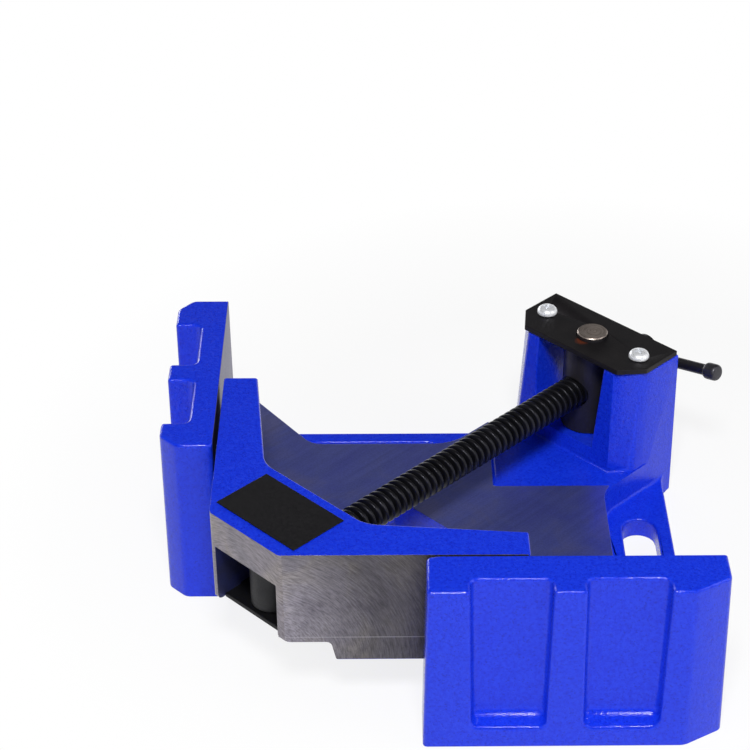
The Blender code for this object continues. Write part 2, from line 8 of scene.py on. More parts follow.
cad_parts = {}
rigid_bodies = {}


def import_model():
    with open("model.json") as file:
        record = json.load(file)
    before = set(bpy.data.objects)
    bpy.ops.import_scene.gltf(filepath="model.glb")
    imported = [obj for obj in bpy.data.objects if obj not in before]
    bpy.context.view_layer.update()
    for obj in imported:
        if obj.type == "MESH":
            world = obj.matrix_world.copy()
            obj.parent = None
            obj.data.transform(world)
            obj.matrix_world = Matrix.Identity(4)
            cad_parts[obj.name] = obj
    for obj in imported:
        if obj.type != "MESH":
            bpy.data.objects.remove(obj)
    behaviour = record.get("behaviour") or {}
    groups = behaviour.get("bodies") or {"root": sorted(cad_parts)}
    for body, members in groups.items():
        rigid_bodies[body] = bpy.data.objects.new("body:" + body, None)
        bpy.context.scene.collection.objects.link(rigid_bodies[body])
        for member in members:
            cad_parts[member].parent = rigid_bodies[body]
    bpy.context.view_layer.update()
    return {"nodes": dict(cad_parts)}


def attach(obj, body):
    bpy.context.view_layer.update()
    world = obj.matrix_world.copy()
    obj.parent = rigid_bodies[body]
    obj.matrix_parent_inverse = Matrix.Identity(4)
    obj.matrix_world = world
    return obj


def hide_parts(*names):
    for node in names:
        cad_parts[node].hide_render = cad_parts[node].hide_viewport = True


for leftOver in list(bpy.data.objects):
    bpy.data.objects.remove(leftOver)

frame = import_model()
nodes = frame["nodes"]
print("frame loaded:", len(nodes), "nodes")

# Where things lie, in mm.  In the diagonal's own frame x runs along the screw, away from the nose.
mm = 0.001
layout = {
    "throat": 180.0,            # from each clamping face to the nut's axis
    "noseLine": 254.558,        # from the nut's axis to the corner in which the clamping planes meet
    "noseGap": 2.1,             # between the nose's faces and the clamping planes
    "pivotSetback": 36.95,      # from the nose's corner to the pivot block's axis
    "screwHeight": 55.6255,
    "floorTop": 27.4,           # the milled floor
    "skinTop": 25.4,            # the enamelled skin around the post
    "coverScrew": 29.4,         # the cover's screws, to each side of the diagonal
    "plateScrew": 24.6,         # the bottom plate's screws, to each side of it
    "plateScrewBack": 3.7,      # and behind the pivot block's axis
}
throat = layout["throat"]
noseFace = layout["noseGap"] - throat
jawPivot = layout["noseLine"] - layout["noseGap"] * math.sqrt(2) - layout["pivotSetback"]
toDiagonal = Matrix.Rotation(math.radians(45), 4, "Z")
fromDiagonal = toDiagonal.inverted()
screwLine = (toDiagonal @ Matrix.Translation((0, 0, layout["screwHeight"] * mm))
             @ Matrix.Rotation(math.radians(90), 4, "Y"))


def hexColour(text):
    # sRGB hex to the linear values that the shaders want
    parts = [int(text[i:i + 2], 16) / 255 for i in (1, 3, 5)]
    return (*[c / 12.92 if c <= 0.04045 else ((c + 0.055) / 1.055) ** 2.4 for c in parts], 1.0)


def grey(value):
    return (value, value, value, 1.0)


def tones(positions, colours):
    return [(position, hexColour(colour)) for position, colour in zip(positions, colours)]


def greys(positions, values):
    return [(position, grey(value)) for position, value in zip(positions, values)]


def addNode(tree, kind, values=None, links=None, stops=None, **settings):
    # a Mix node of colours has its share at socket 0 and its colours at 6 and 7, and gives its result at 2
    node = tree.nodes.new(kind)
    for name, value in settings.items():
        setattr(node, name, value)
    for socket, value in (values or {}).items():
        node.inputs[socket].default_value = value
    for socket, source in (links or {}).items():
        tree.links.new(source, node.inputs[socket])
    if stops:
        steps = node.color_ramp.elements
        steps[0].position, steps[0].color = stops[0]
        steps[1].position, steps[1].color = stops[-1]
        for position, colour in stops[1:-1]:
            steps.new(position).color = colour
    return node


def newMaterial(name, sockets):
    material = bpy.data.materials.new(name)
    material.use_nodes = True
    shader = material.node_tree.nodes["Principled BSDF"]
    for socket, value in sockets.items():
        shader.inputs[socket].default_value = value
    return material, material.node_tree, shader


def linkSkin(tree, shader, colour, roughness, bumps):
    tree.links.new(colour, shader.inputs["Base Color"])
    tree.links.new(roughness, shader.inputs["Roughness"])
    tree.links.new(bumps, shader.inputs["Normal"])


# Enamel sprayed on sand-cast iron: glossy, with the spray's orange peel and the sand's pores showing through.
# Sizes and heights are in mm.  Real sand is finer than this and is drawn as coarse as it needs to show.
enamelSettings = {
    "tones": ("#0d2ac9", "#1132d3", "#1638d7"), "pore": "#0c22a6", "rough": (0.08, 0.24), "ior": 1.38,
    "wave": {"size": 9.0, "strength": 0.5, "height": 0.3},
    "peel": {"size": 1.6, "strength": 0.7, "height": 0.26},
    "sand": {"size": 0.8, "strength": 0.4, "height": 0.14},
}


def enamelOnCastIron():
    s = enamelSettings
    wave, peel, sand = s["wave"], s["peel"], s["sand"]
    material, tree, shader = newMaterial("enamelOnCastIron", {"Metallic": 0.0, "IOR": s["ior"]})
    place = addNode(tree, "ShaderNodeTexCoord").outputs["Object"]
    peels = addNode(tree, "ShaderNodeTexNoise",
                    {"Scale": 1000 / peel["size"], "Detail": 3.0, "Roughness": 0.6},
                    {"Vector": place}).outputs[0]
    waves = addNode(tree, "ShaderNodeTexNoise", {"Scale": 1000 / wave["size"], "Detail": 2.0},
                    {"Vector": place}).outputs[0]
    sands = addNode(tree, "ShaderNodeTexNoise", {"Scale": 1000 / sand["size"], "Detail": 2.0},
                    {"Vector": place}).outputs[0]
    cloud = addNode(tree, "ShaderNodeValToRGB", links={0: peels}, stops=tones((0.33, 0.5, 0.67), s["tones"]))
    pores = addNode(tree, "ShaderNodeValToRGB", links={0: sands}, stops=greys((0.31, 0.38), (0.8, 0.0)))
    coat = addNode(tree, "ShaderNodeMix", {7: hexColour(s["pore"])},
                   {0: pores.outputs[0], 6: cloud.outputs[0]}, data_type="RGBA")
    shine = addNode(tree, "ShaderNodeValToRGB", links={0: peels}, stops=greys((0.3, 0.7), s["rough"]))
    bumps = addNode(tree, "ShaderNodeBump", {"Strength": wave["strength"], "Distance": wave["height"] * mm},
                    {"Height": waves})
    bumps = addNode(tree, "ShaderNodeBump", {"Strength": peel["strength"], "Distance": peel["height"] * mm},
                    {"Height": peels, "Normal": bumps.outputs[0]})
    bumps = addNode(tree, "ShaderNodeBump", {"Strength": sand["strength"], "Distance": sand["height"] * mm},
                    {"Height": sands, "Normal": bumps.outputs[0]})
    linkSkin(tree, shader, coat.outputs[2], shine.outputs[0], bumps.outputs[0])
    return material


# Bare grey iron, milled: a face cutter leaves arcs around its middle, and a planing cut leaves straight lines
milledSettings = {
    "colours": ("#5a5664", "#6f6b76", "#7f7977"), "metal": 0.8, "rough": (0.3, 0.46),
    "middle": (20 - throat, 0, 26),     # of the arcs, in mm
    "turn": (90, 0, 0),                 # of the milled face, in degrees
    "arcs": True, "spacing": 0.7,       # mm between the marks
    "along": 9.0,                       # how soon a mark breaks off along its length
    "depth": 0.45, "cut": 0.5,          # of the marks, in tone and in relief
    "grain": 0.8, "pits": 0.2,          # the iron's grain, in mm, and its relief
    "stain": 22.0, "brightLine": None, "wearAndPaintedHighlight": None,
}
# The fine bright line along the foot of the right-hand face: its height, where it starts and ends to fade
footLine = {"height": 14.4, "edges": (0.08, 0.3), "share": 0.45, "colour": "#b5b2ba"}
# A painted highlight makes the right-hand face brightest around its tip: reach in mm, and the shares of its
# tone far and near
paintedTipHighlight = {"middle": (-166, -178, 50), "radius": 60, "tones": (0.3, 1.0)}


def milledCourse(tree, placed, s):
    # runs across the marks in x and along them in y
    if not s["arcs"]:
        return addNode(tree, "ShaderNodeVectorMath", {1: (1000 / s["spacing"], s["along"], 0)}, {0: placed},
                       operation="MULTIPLY").outputs[0]
    flat = addNode(tree, "ShaderNodeVectorMath", {1: (1, 1, 0)}, {0: placed}, operation="MULTIPLY").outputs[0]
    radius = addNode(tree, "ShaderNodeVectorMath", links={0: flat}, operation="LENGTH").outputs["Value"]
    sides = addNode(tree, "ShaderNodeSeparateXYZ", links={0: flat})
    angle = addNode(tree, "ShaderNodeMath", links={0: sides.outputs[1], 1: sides.outputs[0]},
                    operation="ARCTAN2").outputs[0]
    across = addNode(tree, "ShaderNodeMath", {1: 1000 / s["spacing"]}, {0: radius},
                     operation="MULTIPLY").outputs[0]
    along = addNode(tree, "ShaderNodeMath", {1: s["along"]}, {0: angle}, operation="MULTIPLY").outputs[0]
    return addNode(tree, "ShaderNodeCombineXYZ", links={0: across, 1: along}).outputs[0]


def milledIron(name, s):
    material, tree, shader = newMaterial(name, {"Metallic": s["metal"]})
    place = addNode(tree, "ShaderNodeTexCoord").outputs["Object"]
    placed = addNode(tree, "ShaderNodeMapping",
                     {"Location": [v * mm for v in s["middle"]],
                      "Rotation": [math.radians(v) for v in s["turn"]]},
                     {"Vector": place}, vector_type="TEXTURE").outputs[0]
    marks = addNode(tree, "ShaderNodeTexNoise", {"Scale": 1.0, "Detail": 4.0, "Roughness": 0.6},
                    {"Vector": milledCourse(tree, placed, s)}).outputs[0]
    grain = addNode(tree, "ShaderNodeTexNoise", {"Scale": 1000 / s["grain"], "Detail": 4.0, "Roughness": 0.6},
                    {"Vector": place}).outputs[0]
    stain = addNode(tree, "ShaderNodeTexNoise",
                    {"Scale": 1000 / s["stain"], "Detail": 3.0, "Distortion": 0.6},
                    {"Vector": place}).outputs[0]
    iron = addNode(tree, "ShaderNodeValToRGB", links={0: stain}, stops=tones((0.3, 0.52, 0.72), s["colours"]))
    lines = addNode(tree, "ShaderNodeValToRGB", links={0: marks},
                    stops=greys((0.35, 0.62), (1 - s["depth"], 1.0)))
    specks = addNode(tree, "ShaderNodeValToRGB", links={0: grain}, stops=greys((0.35, 0.6), (0.85, 1.0)))
    worn = addNode(tree, "ShaderNodeMix", {0: 1.0}, {6: iron.outputs[0], 7: lines.outputs[0]},
                   data_type="RGBA", blend_type="MULTIPLY")
    worn = addNode(tree, "ShaderNodeMix", {0: 1.0}, {6: worn.outputs[2], 7: specks.outputs[0]},
                   data_type="RGBA", blend_type="MULTIPLY")
    # painted highlight: the face is lighter around a point and darker away from it
    if s["wearAndPaintedHighlight"]:
        tip = s["wearAndPaintedHighlight"]
        ball = addNode(tree, "ShaderNodeMapping",
                       {"Location": [v * mm for v in tip["middle"]], "Scale": (tip["radius"] * mm,) * 3},
                       {"Vector": place}, vector_type="TEXTURE").outputs[0]
        ball = addNode(tree, "ShaderNodeTexGradient", links={0: ball}, gradient_type="SPHERICAL").outputs[0]
        lift = addNode(tree, "ShaderNodeValToRGB", links={0: ball}, stops=greys((0.0, 0.8), tip["tones"]))
        worn = addNode(tree, "ShaderNodeMix", {0: 1.0}, {6: worn.outputs[2], 7: lift.outputs[0]},
                       data_type="RGBA", blend_type="MULTIPLY")
    # a fine bright line drawn at a set height on the face
    if s["brightLine"]:
        brightLine = s["brightLine"]
        level = addNode(tree, "ShaderNodeSeparateXYZ", links={0: placed}).outputs[1]
        offset = addNode(tree, "ShaderNodeMath", {1: brightLine["height"] * mm}, {0: level},
                         operation="SUBTRACT").outputs[0]
        offset = addNode(tree, "ShaderNodeMath", links={0: offset}, operation="ABSOLUTE").outputs[0]
        line = addNode(tree, "ShaderNodeMapRange",
                       {"From Min": brightLine["edges"][0] * mm, "From Max": brightLine["edges"][1] * mm,
                        "To Min": brightLine["share"], "To Max": 0.0}, {"Value": offset}).outputs[0]
        worn = addNode(tree, "ShaderNodeMix", {7: hexColour(brightLine["colour"])}, {0: line, 6: worn.outputs[2]},
                       data_type="RGBA")
    shine = addNode(tree, "ShaderNodeValToRGB", links={0: grain}, stops=greys((0.3, 0.7), s["rough"]))
    bumps = addNode(tree, "ShaderNodeBump", {"Strength": s["cut"], "Distance": 0.1 * mm}, {"Height": marks})
    bumps = addNode(tree, "ShaderNodeBump", {"Strength": s["pits"], "Distance": 0.06 * mm},
                    {"Height": grain, "Normal": bumps.outputs[0]})
    linkSkin(tree, shader, worn.outputs[2], shine.outputs[0], bumps.outputs[0])
    return material


# Steel blackened in a hot bath and oiled: satin black that greys where it is rubbed.  Sizes are in mm.
oxideCloud = 12.0


def blackOxide(name, colour, wearAndPaintedHighlight, rough, grainSize=0.6, lift=0.25, rust=None):
    material, tree, shader = newMaterial(name, {"Metallic": 0.75})
    place = addNode(tree, "ShaderNodeTexCoord").outputs["Object"]
    grain = addNode(tree, "ShaderNodeTexNoise", {"Scale": 1000 / grainSize, "Detail": 4.0},
                    {"Vector": place}).outputs[0]
    cloud = addNode(tree, "ShaderNodeTexNoise",
                    {"Scale": 1000 / oxideCloud, "Detail": 3.0, "Distortion": 0.4},
                    {"Vector": place}).outputs[0]
    tone = addNode(tree, "ShaderNodeValToRGB", links={0: cloud}, stops=tones((0.35, 0.75), (colour, wearAndPaintedHighlight)))
    skin = tone.outputs[0]
    if rust:
        ball = addNode(tree, "ShaderNodeMapping",
                       {"Location": [v * mm for v in rust["middle"]], "Scale": (rust["radius"] * mm,) * 3},
                       {"Vector": place}, vector_type="TEXTURE").outputs[0]
        fade = addNode(tree, "ShaderNodeTexGradient", links={0: ball}, gradient_type="SPHERICAL").outputs[0]
        patch = addNode(tree, "ShaderNodeMath", links={0: fade, 1: grain}, operation="MULTIPLY").outputs[0]
        patch = addNode(tree, "ShaderNodeValToRGB", links={0: patch}, stops=greys((0.12, 0.32), (0.0, 0.85)))
        skin = addNode(tree, "ShaderNodeMix", {7: hexColour(rust["colour"])}, {0: patch.outputs[0], 6: skin},
                       data_type="RGBA").outputs[2]
    shine = addNode(tree, "ShaderNodeValToRGB", links={0: grain}, stops=greys((0.3, 0.7), rough))
    bumps = addNode(tree, "ShaderNodeBump", {"Strength": lift, "Distance": 0.08 * mm}, {"Height": grain})
    linkSkin(tree, shader, skin, shine.outputs[0], bumps.outputs[0])
    return material


# A thin even skin with a fine grain, as on plated screws and printed foil.  Its grain and height are in mm.
def thinSkin(name, s):
    material, tree, shader = newMaterial(name, s["sockets"])
    place = addNode(tree, "ShaderNodeTexCoord").outputs["Object"]
    grain = addNode(tree, "ShaderNodeTexNoise", {"Scale": 1000 / s["grain"], "Detail": s["detail"]},
                    {"Vector": place}).outputs[0]
    tone = addNode(tree, "ShaderNodeValToRGB", links={0: grain}, stops=tones((0.3, 0.7), s["tones"]))
    shine = addNode(tree, "ShaderNodeValToRGB", links={0: grain}, stops=greys((0.3, 0.7), s["rough"]))
    bumps = addNode(tree, "ShaderNodeBump", {"Strength": s["lift"], "Distance": s["height"] * mm},
                    {"Height": grain})
    linkSkin(tree, shader, tone.outputs[0], shine.outputs[0], bumps.outputs[0])
    return material


def solidCopy(nodeName):
    # the solid's own mesh, welded and with its flat faces made whole, as the start of a rounded piece
    bm = bmesh.new()
    bm.from_mesh(nodes[nodeName].data)
    bmesh.ops.remove_doubles(bm, verts=bm.verts[:], dist=0.03 * mm)
    bmesh.ops.dissolve_limit(bm, angle_limit=math.radians(0.5), use_dissolve_boundaries=False,
                             verts=bm.verts[:], edges=bm.edges[:])
    return bm


# Turns are in degrees.  An edge that turns by less than flat is left alone.  A rounding stays clear of the
# short edges that start from its ends, and none is made where two rims meet at a sliver.
roundingSettings = {"flat": 25, "sliver": 25, "wide": 128, "share": 0.45}


def roundingSizes(bm, rounding):
    s = roundingSettings
    sizes = {}
    for edge in bm.edges:
        if len(edge.link_faces) == 2:
            sizes[edge] = rounding(edge, math.degrees(edge.calc_face_angle_signed(0.0)))
    for edge in [e for e in sizes if sizes[e] > 0]:
        for vert in edge.verts:
            along = edge.other_vert(vert).co - vert.co
            for other in [e for e in vert.link_edges if e is not edge]:
                turn = math.degrees(along.angle(other.other_vert(vert).co - vert.co))
                if turn < s["sliver"]:
                    sizes[edge] = 0.0
                elif turn < s["wide"]:
                    sizes[edge] = min(sizes[edge], s["share"] * other.calc_length() / mm)
    return sizes


def finishPiece(name, bm, body, replaced, materials, chooseMaterial=None, rounding=None, segments=3,
                sharpAngle=35):
    if chooseMaterial:
        for face in bm.faces:
            face.material_index = chooseMaterial(face)
    widest = 0.0
    if rounding:
        weights = bm.edges.layers.float.new("bevel_weight_edge")
        sizes = roundingSizes(bm, rounding)
        widest = max(sizes.values())
        for edge, size in sizes.items():
            edge[weights] = size / widest
    for face in bm.faces:
        face.smooth = True
    for edge in bm.edges:
        if len(edge.link_faces) == 2 and edge.calc_face_angle(0.0) > math.radians(sharpAngle):
            edge.smooth = False
    mesh = bpy.data.meshes.new(name)
    bm.to_mesh(mesh)
    bm.free()
    for material in materials:
        mesh.materials.append(material)
    piece = bpy.data.objects.new(name, mesh)
    bpy.context.scene.collection.objects.link(piece)
    if widest > 0:
        bevel = piece.modifiers.new("roundedEdges", "BEVEL")
        bevel.limit_method = "WEIGHT"
        bevel.width = widest * mm
        bevel.segments = segments
        bevel.profile = 0.5
        bevel.material = -1
        bevel.use_clamp_overlap = False
        bevel.harden_normals = True
    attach(piece, body)
    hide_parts(*replaced)
    return piece


def evenRounding(size):
    return lambda edge, angle: size if angle > roundingSettings["flat"] else 0.0


def above(base, profile):
    # a stretch of a turned outline, its heights in mm counted from base
    return [(radius, base + height) for radius, height in profile]


def spunBody(profile, place, steps=64):
    # closed turned body from (radius, height) pairs in mm
    bm = bmesh.new()
    points = [bm.verts.new((radius * mm, 0, height * mm)) for radius, height in profile]
    edges = [bm.edges.new(pair) for pair in zip(points, points[1:])]
    bmesh.ops.spin(bm, geom=points + edges, cent=(0, 0, 0), axis=(0, 0, 1), angle=math.radians(360),
                   steps=steps, use_merge=True)
    bmesh.ops.remove_doubles(bm, verts=bm.verts[:], dist=0.001 * mm)
    bmesh.ops.recalc_face_normals(bm, faces=bm.faces[:])
    bmesh.ops.transform(bm, matrix=place, verts=bm.verts[:])
    return bm


def joined(bodies):
    whole = bodies[0]
    for other in bodies[1:]:
        part = bpy.data.meshes.new("part")
        other.to_mesh(part)
        other.free()
        whole.from_mesh(part)
        bpy.data.meshes.remove(part)
    return whole


def near(value, target, slack=0.05):
    return abs(value - target) < slack


square = 0.99       # the least share of a normal along the axis that its face looks along

enamel = enamelOnCastIron()
# The right-hand face is a lighter copy of the milled iron, painted light, with a painted highlight around its
# tip
noseRight = milledIron("milledNoseRight", {**milledSettings, "colours": ("#9994a2", "#b0abb7", "#c0b9b8"),
                                           "brightLine": footLine, "wearAndPaintedHighlight": paintedTipHighlight})
noseLeft = milledIron("milledNoseLeft", {**milledSettings, "middle": (0, 20 - throat, 26),
                                         "turn": (90, 0, 90)})
# The flat at the nose's tip is a lighter copy of the milled iron: painted light
noseFlat = milledIron("milledNoseFlat", {**milledSettings, "colours": ("#8a8690", "#9a949c", "#a29b98"),
                                         "middle": (-160, -160, 26), "turn": (90, 0, -45)})
# The clamping faces are copies of the milled iron in darker tones of their own: painted shade, and on the
# left face a painted blue reflection of the enamel
jawRight = milledIron("milledJawRight", {**milledSettings, "colours": ("#4c4a55", "#5c5962", "#66605f"),
                                         "middle": (150 - throat, 0, 40), "spacing": 1.6, "depth": 0.3})
jawLeft = milledIron("milledJawLeft", {**milledSettings, "colours": ("#4e4e74", "#5b5a7c", "#67657f"),
                                       "middle": (0, 150 - throat, 40), "turn": (90, 0, 90),
                                       "spacing": 1.6, "depth": 0.22})
# The milled floor's tones are tinted blue and lightened: painted reflection of the blue enamel around it, and
# painted light
milledFloor = milledIron("milledFloor", {**milledSettings, "colours": ("#6871d0", "#707ad0", "#7f83c4"),
                                         "middle": (0, 0, 0), "turn": (0, 0, -45), "arcs": False,
                                         "spacing": 2.6, "along": 12.0, "depth": 0.12, "cut": 0.15,
                                         "pits": 0.03, "rough": (0.3, 0.38)})
windowIron = blackOxide("rawIronOversprayed", "#3c3e5c", "#384080", (0.42, 0.6), grainSize=0.9, lift=0.5)
print("castings' materials made")

# Corner casting: its roundings in mm, and the places in the diagonal's frame that they hold for
cornerSettings = {
    "jawEdge": 1.6, "edge": 1.1, "postFoot": 1.1, "foot": 0.5, "machined": 0.3, "bore": 0.25,
    "fillet": 2.0, "floorFillet": 0.5,
    "jawsFrom": -60.0,                      # the jaws lie in front of this
    "nutHole": 9.0, "sillRim": 30.0,        # the nut's hole, and above what height its rim is rounded
    "screwHole": 4.0, "pillarRim": 79.0,    # the same for the cover screws' holes
    "gapFoot": (-21.0, -16.0, 35.0),        # foot of the gap between the pillars: front, back and top
    "gapSide": 18.6,
    "skinFrom": -28.0, "skinSide": 35.0,    # the skin beside the post
    "postFront": (-23.0, -18.0),
}


def cornerMaterial(face):
    centre, normal = face.calc_center_median() / mm, face.normal
    if normal.z > square and near(centre.z, layout["floorTop"]):
        return 1
    if normal.y > square and near(centre.y, -throat):
        return 2
    if normal.x > square and near(centre.x, -throat):
        return 3
    return 0


def cornerRounding(edge, angle):
    s = cornerSettings
    if abs(angle) < roundingSettings["flat"]:
        return 0.0
    x, y, z = fromDiagonal @ ((edge.verts[0].co + edge.verts[1].co) / 2) / mm
    side = abs(y)
    if math.hypot(x, y) < s["nutHole"]:
        return s["bore"] if angle > 0 and z > s["sillRim"] else 0.0
    if math.hypot(x, side - layout["coverScrew"]) < s["screwHole"]:
        return s["bore"] if angle > 0 and z > s["pillarRim"] else 0.0
    # none at the foot of the gap between the pillars and on the skin beside the post: walls meet at slivers
    front, back, top = s["gapFoot"]
    if front < x < back and near(side, s["gapSide"], 1.5) and z < top:
        return 0.0
    if x > s["skinFrom"] and side > s["skinSide"] and near(z, layout["skinTop"], 0.6):
        return 0.0
    if s["postFront"][0] < x < s["postFront"][1] and near(z, layout["skinTop"], 0.3):
        return s["postFoot"]
    if all(near(v.co.z / mm, 0, 0.1) for v in edge.verts):
        return s["foot"]
    if any(cornerMaterial(f) > 0 for f in edge.link_faces):
        return s["floorFillet"] if angle < 0 else s["machined"]
    if angle < 0:
        return s["fillet"]
    return s["jawEdge"] if x < s["jawsFrom"] else s["edge"]


finishPiece("cornerCasting", solidCopy("base_casting"), "base", ["base_casting"],
            [enamel, milledFloor, jawRight, jawLeft], cornerMaterial, cornerRounding)

# Nose jaw casting, in the same way.  Its window's walls are raw iron, dark and dull under stray spray.
noseSettings = {
    "edge": 0.9, "machined": 0.15, "fillet": 0.8,
    "bluntFrom": -318.0,                    # x + y, past which a face belongs to the blunt nose
    "windowFrom": -205.0, "windowSide": 19.55, "windowHeights": (31.0, 60.0),
    "hole": 8.0, "plateHolesBelow": 60.0,   # around the pivot's and the plate screws' holes
    "plateSide": 31.0, "plateHeights": (37.0, 41.3),    # the recess of the bottom plate and its ears
}


def noseMaterial(face):
    s = noseSettings
    centre, normal = face.calc_center_median() / mm, face.normal
    x, y, z = fromDiagonal @ centre
    if normal.y < -square and near(centre.y, noseFace):
        return 1
    if normal.x < -square and near(centre.x, noseFace):
        return 2
    if normal.x + normal.y < -0.5 and normal.z < 0.1 and centre.x + centre.y < s["bluntFrom"]:
        return 3
    low, high = s["windowHeights"]
    if x < s["windowFrom"] and near(abs(y), s["windowSide"], 0.5) and low < z < high:
        return 4
    return 0


def noseRounding(edge, angle):
    s = noseSettings
    if abs(angle) < roundingSettings["flat"]:
        return 0.0
    x, y, z = fromDiagonal @ ((edge.verts[0].co + edge.verts[1].co) / 2) / mm
    side = abs(y)
    if math.hypot(x + jawPivot, y) < s["hole"]:
        return 0.0
    plateHole = math.hypot(x + jawPivot - layout["plateScrewBack"], side - layout["plateScrew"])
    if plateHole < s["hole"] and z < s["plateHolesBelow"]:
        return 0.0
    low, high = s["plateHeights"]
    if side < s["plateSide"] and low < z < high and angle < 0:
        return 0.0
    if any(noseMaterial(f) in (1, 2, 3) for f in edge.link_faces):
        return s["machined"]
    return s["edge"] if angle > 0 else s["fillet"]


finishPiece("noseJawCasting", solidCopy("movable_jaw"), "nose_jaw", ["movable_jaw"],
            [enamel, noseRight, noseLeft, noseFlat, windowIron], noseMaterial, noseRounding)
print("castings made")

# Lead screw: a right-hand trapezoidal thread, its crests rounded by wear
screwSettings = {
    "crest": 8.0, "root": 5.9, "pitch": 4.0, "crestMiddle": 0.6, "stepsPerTurn": 36,
    "stub": 5.5, "groove": 4.0,         # radii of what turns in the pivot block
    "shoulder": 18.5,                   # from the block's axis to the collar, 0.3 mm clear of the block
    "hub": 7.5, "hubStart": 28.0, "hubEnd": 46.6,
}


def threadedBody(s, front, rear):
    # one pitch of the flank, in shares of the pitch, drawn from root to crest and back, spun and pushed along
    pitch, crest, root = s["pitch"], s["crest"], s["root"]
    turns = int(math.ceil((rear - front) / pitch)) + 2
    flank = [(root, 0.2), (crest - 0.7, 0.34), (crest - 0.25, 0.39), (crest - 0.05, 0.45), (crest, 0.52)]
    outline = [(root, 0.0)] + flank + [(r, 2 * s["crestMiddle"] - share) for r, share in reversed(flank)]
    bm = bmesh.new()
    start = front - pitch
    points = [bm.verts.new((r * mm, 0, (start + share * pitch) * mm)) for r, share in outline]
    edges = [bm.edges.new(pair) for pair in zip(points, points[1:])]
    bmesh.ops.spin(bm, geom=points + edges, cent=(0, 0, 0), axis=(0, 0, 1),
                   dvec=(0, 0, pitch * mm / s["stepsPerTurn"]), angle=math.radians(360 * turns),
                   steps=s["stepsPerTurn"] * turns, use_merge=False)
    bmesh.ops.remove_doubles(bm, verts=bm.verts[:], dist=0.01 * mm)
    for height, inward in ((front, -1), (rear, 1)):
        bmesh.ops.bisect_plane(bm, geom=bm.verts[:] + bm.edges[:] + bm.faces[:], plane_co=(0, 0, height * mm),
                               plane_no=(0, 0, inward), clear_outer=True, dist=0.001 * mm)
        rim = [e for e in bm.edges if e.is_boundary and all(near(v.co.z / mm, height, 0.01) for v in e.verts)]
        bmesh.ops.edgeloop_fill(bm, edges=rim)
    bmesh.ops.recalc_face_normals(bm, faces=bm.faces[:])
    bmesh.ops.transform(bm, matrix=screwLine, verts=bm.verts[:])
    return bm


def leadScrewBody():
    s = screwSettings
    shoulder = s["shoulder"] - jawPivot
    stub, groove, hub = s["stub"], s["groove"], s["hub"]
    thread = threadedBody(s, shoulder + 0.6, s["hubStart"] - 0.4)
    nosePart = spunBody(above(-jawPivot, [(0, s["shoulder"] + 2), (stub, s["shoulder"] + 2), (stub, 12.8),
                                          (groove, 12.8), (groove, 9.2), (stub, 9.2), (stub, 1.6),
                                          (stub - 0.8, 0.8), (0, 0.8)]), screwLine)
    collar = spunBody(above(shoulder, [(0, 3), (6.0, 3), (7.2, 0.6), (6.6, 0), (0, 0)]), screwLine)
    hubPart = spunBody(above(s["hubEnd"], [(0, 0), (5.8, 0), (6.2, -0.15), (hub - 0.15, -1.3), (hub, -1.7)])
                       + above(s["hubStart"], [(hub, 0.4), (7.2, -0.1), (6.0, -0.8), (5.6, -2.5), (0, -2.5)]),
                       screwLine)
    return joined([thread, nosePart, collar, hubPart])


screwBlack = blackOxide("oiledBlackOxide", "#1b1b1f", "#2a2a30", (0.3, 0.46))
screw = finishPiece("leadScrew", leadScrewBody(), "screw", ["lead_screw"], [screwBlack],
                    sharpAngle=40)
print("lead screw made:", len(screw.data.polygons), "faces")

# Bar and its two knobs.  The bar lies across the screw with its right end raised.
barSettings = {
    "seat": 38.0, "offset": -3.5, "tilt": 11.5,     # along the screw, along the bar, and in degrees
    "radius": 2.8, "half": 54.83, "knob": 4.15, "knobLength": 7.83,
    "tenon": (1.6, 4.0), "socket": (1.9, 4.8),      # of the bar and of the knob: radius and depth
}
barLine = (screwLine @ Matrix.Translation((0, 0, barSettings["seat"] * mm))
           @ (Matrix.Rotation(-math.radians(barSettings["tilt"]), 4, "Z")
              @ Matrix.Rotation(math.radians(90), 4, "X"))
           @ Matrix.Translation((0, 0, barSettings["offset"] * mm)))
barEnd = barSettings["half"] - barSettings["knobLength"]


def barBody():
    radius, (tenon, reach) = barSettings["radius"], barSettings["tenon"]
    half = above(barEnd, [(0, reach), (tenon, reach), (tenon, 0), (radius - 0.3, 0), (radius, -0.3)])
    return spunBody(half + [(r, -height) for r, height in reversed(half)], barLine, 40)


def knobBody(flip):
    knob, (socket, depth) = barSettings["knob"], barSettings["socket"]
    crown = [(0, 0), (0.6, 0), (0.78, -0.15), (0.9, -0.6), (0.98, -1.3), (1, -2.0)]    # shares of the radius
    neck = [(1, 2.0), (0.97, 1.2), (0.86, 0.5), (0.76, 0.2)]
    outline = above(barSettings["half"], [(share * knob, height) for share, height in crown])
    outline += above(barEnd, [(share * knob, height) for share, height in neck])
    outline += above(barEnd, [(socket, 0.2), (socket, depth), (0, depth)])
    return spunBody(outline, barLine @ Matrix.Rotation(math.radians(flip), 4, "X"), 48)


barBlack = blackOxide("blackOxideBar", "#2c2b2f", "#3a393e", (0.28, 0.46))
finishPiece("tommyBar", barBody(), "bar", ["tommy_bar"], [barBlack])
knobBlack = blackOxide("blackOxideKnob", "#38373c", "#4a494e", (0.3, 0.5), grainSize=0.9, lift=0.4)
for name, node, flip in (("barKnobRight", "bar_knob_right", 0), ("barKnobLeft", "bar_knob_left", 180)):
    finishPiece(name, knobBody(flip), "bar", [node], [knobBlack], sharpAngle=50)
print("bar and knobs made")

